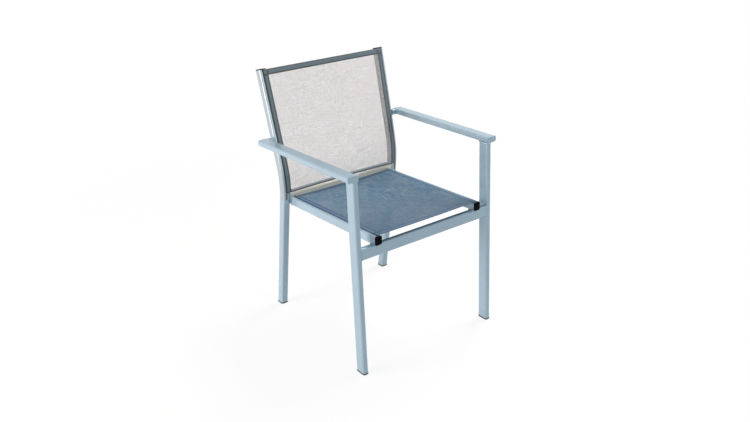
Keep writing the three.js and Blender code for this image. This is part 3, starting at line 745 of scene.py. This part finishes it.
def mesh_cloth(name, shade, light, yarn, grain, corner=0.0):
    material, wire, shader = finish(name, shade, Roughness=0.62, Sheen_Weight=0.12)
    place, (u, w) = weave_place(wire)
    slub, streak = noise(wire, place, SLUB_SCALE) - 0.5, streaks(wire, place)
    width = yarn + slub * grain + streak * (STREAK_WIDTH + STREAK_WIDTH_GAIN * yarn)
    x, y = (at / PITCH + noise(wire, place, scale) * WANDER for at, scale in zip((u, w), WANDER_SCALES))
    off_x, off_y = (abs(at - round(at)) * 2 for at in (x, y))
    warp, weft = (((width - off) * YARN_EDGE + 0.5).at_most(1.0).at_least(0.0) for off in (off_x, off_y))
    over = ((round(x) + round(y)) * 0.5).fraction() * 2
    warp_height = warp * (1 - off_x / yarn) * (1 - OVER_RISE + over * OVER_RISE)
    height = warp_height.at_least(weft * (1 - off_y / yarn) * (1 - over * OVER_RISE))
    patch = noise(wire, place, PATCH_SCALE, detail=3.0) - 0.5
    # Painted shade of the relief: the yarns' crowns are lighter and their flanks darker.
    share = height * CROWN_PAINTED_SHADE_TONE + slub * SLUB_TONE + streak * STREAK_TONE + patch * PATCH_TONE + MEAN_TONE
    tone = wire.between(share, screen(shade), screen(light))
    # Painted shade: the seat darkens towards its front left corner.
    painted_corner_shade = (w / SEAT_PAINTED_SHADE_RUN - SEAT_PAINTED_SHADE_START - u * SEAT_PAINTED_SHADE_LEFT).at_least(0.0) * corner
    feed(material, shader, Base_Color=wire.between(painted_corner_shade, tone, screen(SEAT_PAINTED_SHADE_COLOUR)),
         Normal=bump(wire, height, CROWN_DEPTH, CROWN_STRENGTH), Alpha=warp.at_least(weft))
    return material


# corner is the share of painted shade at the seat's front left corner.
seat_mesh = mesh_cloth("seat_mesh", shade=(34, 97, 134), light=(123, 147, 161),
                       yarn=0.63, grain=0.14, corner=0.62)
back_mesh = mesh_cloth("back_mesh", shade=(174, 164, 164), light=(226, 208, 200), yarn=0.165, grain=0.2)
print("mesh cloth made")

# %% [markdown]
# A hem is the same cloth folded double, so almost nothing shows through it and it looks darker. A
# lockstitch runs about a millimetre inside its edge and pulls a little valley into the cloth, which has
# painted shade in it. The cloth also gets painted shade where it turns over an end and where it goes down
# into a groove. The stitches could be small pieces, but there are hundreds of them, each thinner than a
# pixel of the picture. So the finish draws them from the same UV map. A layer that is folded under has the
# seam at the same distance from the fold, so the distances are mirrored there.

# %% Hem cloth
STITCH_INSET, STITCH_WIDTH, STITCH_LENGTH, STITCH_SHARE, STITCH_START = 0.0012, 0.0007, 0.0042, 0.8, 1
VALLEY, GROOVE_EDGE, WEAVE_START = 0.0042, 0.0004, 500
HEM_TONES, VALLEY_PAINTED_SHADE_TONE, THREAD_TONE, THREAD_HEIGHT, RELIEF_DEPTH = (0.75, 1.2), 0.2, 0.6, 0.5, 0.0005
FADE_SCALE, FADE_SHARE, YARN_SHARE, WEAVE_SHARE = 9.0, 0.4, 0.4, 0.3


def hem_cloth(name, sling, colour, low_colour, low_seam, groove):
    material, wire, shader = finish(name, colour, Roughness=0.6, Sheen_Weight=0.1)
    place, (u, w) = weave_place(wire)
    across = abs(u).at_most(sling.cut_half + sling.half - abs(u))
    near_end, far_end = abs(w), abs(sling.length - w)
    sides = abs(across - (sling.half + STITCH_INSET))
    ends = abs(near_end - low_seam).at_most(abs(far_end - (sling.hems[1] - STITCH_INSET)))
    on_w, on_u = (((at + STITCH_START) / STITCH_LENGTH).fraction() < STITCH_SHARE for at in (w, u))
    thread = ((sides < STITCH_WIDTH / 2) * on_w).at_least((ends < STITCH_WIDTH / 2) * on_u)
    seam = sides.at_most(ends).at_most(near_end.at_most(far_end)) - STITCH_WIDTH
    # This is both the seams' bump and painted shade along the seams and at the folded ends.
    valley_bump_and_painted_shade = (seam / VALLEY).at_most(1.0).at_least(0.0)
    weave_u, weave_w = (abs((at / PITCH + WEAVE_START).fraction() - 0.5) for at in (u, w))
    weave = weave_u.at_least(weave_w)
    fade, slub = noise(wire, place, FADE_SCALE, detail=4.0), noise(wire, place, SLUB_SCALE)
    grain = fade * FADE_SHARE + slub * YARN_SHARE + weave * WEAVE_SHARE
    low = (w < sling.hems[0]) * (abs(u) < sling.half)
    tone = wire.between(low, *[mottled(wire, grain, each, HEM_TONES) for each in (colour, low_colour)])
    # Painted shade where the cloth goes down into the groove.
    groove_painted_shade = (across > sling.half + HEM - GROOVE_EDGE) * groove
    with_painted_shade = wire.between(valley_bump_and_painted_shade - groove_painted_shade, screen(colour, VALLEY_PAINTED_SHADE_TONE), tone)
    relief = valley_bump_and_painted_shade + thread * THREAD_HEIGHT + weave * WEAVE_SHARE
    feed(material, shader, Base_Color=wire.between(thread, with_painted_shade, screen(colour, THREAD_TONE)),
         Normal=bump(wire, relief, RELIEF_DEPTH))
    return material


print("hem cloth ready")

# %% [markdown]
# The seat's cloth runs from the rear crossbar to the front ends of the rails, and the back's from just above
# that crossbar to the tops of the posts. Each is declared as one sheet together with its folded strips, and
# its flat size is the one that it is cut to.

# %% Make the seat
STRIP_SHORTER, RAIL_END_GAP, SAG = 0.001, 0.003, 0.009


def make_sling(name, sling, node, slot, rests_on):
    cloth = sling.weave(f"{name}_cloth", sling.columns, main_rows(sling.length, sling.hems))
    strips = []
    for end, place, way, hem in (("first", 0, 1, sling.hems[0]), ("last", sling.length, -1, sling.hems[1])):
        rows = fold_rows(place, way, hem - STRIP_SHORTER)
        strips.append(sling.weave(f"{name}_{end}_fold", sling.inner_columns(), rows))
    flat = (2 * sling.cut_half, sling.length)
    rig.replaces(cloth, node)
    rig.slot(cloth, slot)
    for strip in strips:
        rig.slot(strip, slot)
    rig.sheet(cloth, flat=flat, held="stretched", rests_on=rests_on, with_pieces=strips)
    print(name, "cut to", [round(size, 4) for size in flat], "faces", len(cloth.data.polygons))


seat_rear = rail_high[1] - RAIL_END_GAP
seat_length = seat_rear - (rail_front_y + RAIL_END_GAP)
seat = Sling(rail_x + GROOVE_OFFSET, seat_length, (END_HEM, END_HEM),
             lambda along: rail_frame(seat_rear - along), sag=SAG, edge_sag=0.002)
# groove is the share of painted shade in the rails' grooves.
seat_hem = hem_cloth("seat_hem", seat, colour=(54, 102, 138), low_colour=(50, 96, 124),
                    low_seam=END_HEM - STITCH_INSET, groove=0.65)
seat.finishes = [seat_mesh, seat_hem]
make_sling("seat", seat, "seat_sling", "seat_mesh", ["left_seat_rail", "right_seat_rail"])

# %% [markdown]
# The back's cloth starts at a height, which isn't a length along the leaning post. So its start is found
# by halving an interval again and again. Its lower hem is narrow and light, and is sewn at its very end.

# %% Make the back
BAR_GAP, POST_END_GAP, HALVINGS = 0.004, 0.0005, 40


def post_distance(height):
    low, high = 0.0, post_length
    for _ in range(HALVINGS):
        middle = (low + high) / 2
        low, high = (middle, high) if post_frame(middle)[0].z < height else (low, middle)
    return low


back_start = post_distance(bar_top + BAR_GAP)
back_length = post_length - POST_END_GAP - back_start
back = Sling(post_x + GROOVE_OFFSET, back_length, (BACK_LOW_HEM, END_HEM),
             lambda along: post_frame(back_start + along), sag=SAG, edge_sag=0.003)
# groove is the share of painted shade in the posts' grooves.
back_hem = hem_cloth("back_hem", back, colour=(108, 122, 130), low_colour=(186, 188, 192),
                    low_seam=0.0004, groove=1.0)
back.finishes = [back_mesh, back_hem]
make_sling("back", back, "back_sling", "back_mesh", ["left_back_post", "right_back_post"])

# %% [markdown]
# The chair stands in a plain white room. A white floor under strong lamps would throw light up into the
# frame, and a grey one would spoil the white picture. So the floor is grey for the light that it passes on,
# and white for the eye and in the coat's reflections. Some of the true surface stays in the mix near the
# chair, and that keeps its faint shadow. The surrounding is white for the eye and dim for the rest, too.

# %% Floor
FLOOR_HALF, WHITE, BOUNCE_GREY = 30, (255, 255, 255), (185, 185, 185)
NEAR_WHITE, FAR_FLOOR = 0.8, 2.2


def seen_directly(wire):
    outputs = [f"Is {kind} Ray" for kind in ("Camera", "Glossy", "Transmission")]
    from_eye, mirrored, through = (wire.node("ShaderNodeLightPath", output=output) for output in outputs)
    return from_eye.at_least(mirrored).at_least(through)


bm = bmesh.new()
bmesh.ops.create_grid(bm, x_segments=1, y_segments=1, size=FLOOR_HALF)
floor_mesh = bpy.data.meshes.new("floor")
bm.to_mesh(floor_mesh)
bm.free()
floor = bpy.data.objects.new("floor", floor_mesh)
bpy.context.collection.objects.link(floor)
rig.stage(floor)

floor_paper, wire, shader = finish("floor_paper", WHITE, Roughness=0.9, Specular_IOR_Level=0.1)
seen = seen_directly(wire)
feed(floor_paper, shader, Base_Color=wire.between(seen, screen(BOUNCE_GREY), screen(WHITE)))
glow = wire.node("ShaderNodeEmission", Strength=1.0)
place = wire.node("ShaderNodeTexCoord", output="Object")
far = wire.node("ShaderNodeVectorMath", {"operation": "LENGTH"}, output=1, i0=place)
white_share = (far / FAR_FLOOR).at_most(1.0) * (1 - NEAR_WHITE) + NEAR_WHITE
blend = wire.node("ShaderNodeMixShader", i0=seen * white_share,
                  i1=Wire(floor_paper.node_tree, shader.outputs[0]), i2=glow)
surface = floor_paper.node_tree.nodes["Material Output"].inputs["Surface"]
floor_paper.node_tree.links.new(blend.socket, surface)
floor_mesh.materials.append(floor_paper)
print("floor made")

# %% World
SURROUND = 0.28

world = bpy.data.worlds.new("room")
bpy.context.scene.world = world
world.use_nodes = True
backdrop = world.node_tree.nodes["Background"]
backdrop.inputs["Color"].default_value = (1, 1, 1, 1)
strength = SURROUND + seen_directly(Wire(world.node_tree)) * (1 - SURROUND)
world.node_tree.links.new(strength.socket, backdrop.inputs["Strength"])
print("surrounding made")

# %% [markdown]
# One large soft lamp low at the left shapes the tubes, a wide one from the upper right lights their tops,
# and a weak one in front keeps the dark sides open. All are large, because a small lamp would give hard
# shadows and bright lines on the round edges.

# %% Lamps


def lamp(name, place, target, size, power, colour):
    data = bpy.data.lights.new(name, "AREA")
    data.shape, data.size, data.size_y = "RECTANGLE", size[0], size[1]
    data.energy, data.color = power, colour
    made = bpy.data.objects.new(name, data)
    bpy.context.collection.objects.link(made)
    made.location = place
    made.rotation_euler = (Vector(target) - Vector(place)).to_track_quat("-Z", "Y").to_euler()


lamp("left_softbox", (-3.0, 0.7, 0.95), target=(0, 0, 0.45), size=(1.4, 2.2), power=108,
     colour=(1.0, 0.905, 0.875))
lamp("upper_right_lamp", (2.1, 0.2, 2.3), target=(0, 0, 0.5), size=(1.6, 1.6), power=70,
     colour=(1.0, 0.99, 0.98))
lamp("front_fill", (0.8, -3.9, 1.7), target=(0, 0, 0.5), size=(2.0, 2.0), power=44,
     colour=(0.82, 0.96, 1.0))
print("lamps made")

# %% [markdown]
# The camera stands where the photograph was taken from: high, in front of the chair's left corner. Its
# lens, place and small shift came from matching the frame's edges to those in the picture.

# %% Camera
AZIMUTH, ELEVATION = math.radians(-38.09), math.radians(25.8)
CAMERA_PLACE = (-1.61369, -2.06225, 1.57719)
SENSOR, LENS, SHIFT, FARTHEST = 36.0, 39.82, 0.0281, 100

camera_data = bpy.data.cameras.new("camera")
camera_data.sensor_width, camera_data.lens = SENSOR, LENS
camera_data.shift_y, camera_data.clip_end = SHIFT, FARTHEST
camera = bpy.data.objects.new("camera", camera_data)
bpy.context.collection.objects.link(camera)
towards = Vector((math.sin(AZIMUTH) * math.cos(ELEVATION), -math.cos(AZIMUTH) * math.cos(ELEVATION),
                  math.sin(ELEVATION)))
camera.location = CAMERA_PLACE
camera.rotation_mode = "QUATERNION"
camera.rotation_quaternion = (-towards).to_track_quat("-Z", "Y")
bpy.context.scene.camera = camera
bpy.context.scene.view_settings.view_transform = "Standard"
print("camera at", tuple(camera.location))

# %% Finish
boxes = {"cad": cad_box, "scene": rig.bounds()}
with open("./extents.json", "w") as sizes:
    json.dump({key: [list(corner) for corner in box] for key, box in boxes.items()}, sizes)
print("scene box:", [round(x, 3) for corner in boxes["scene"] for x in corner])
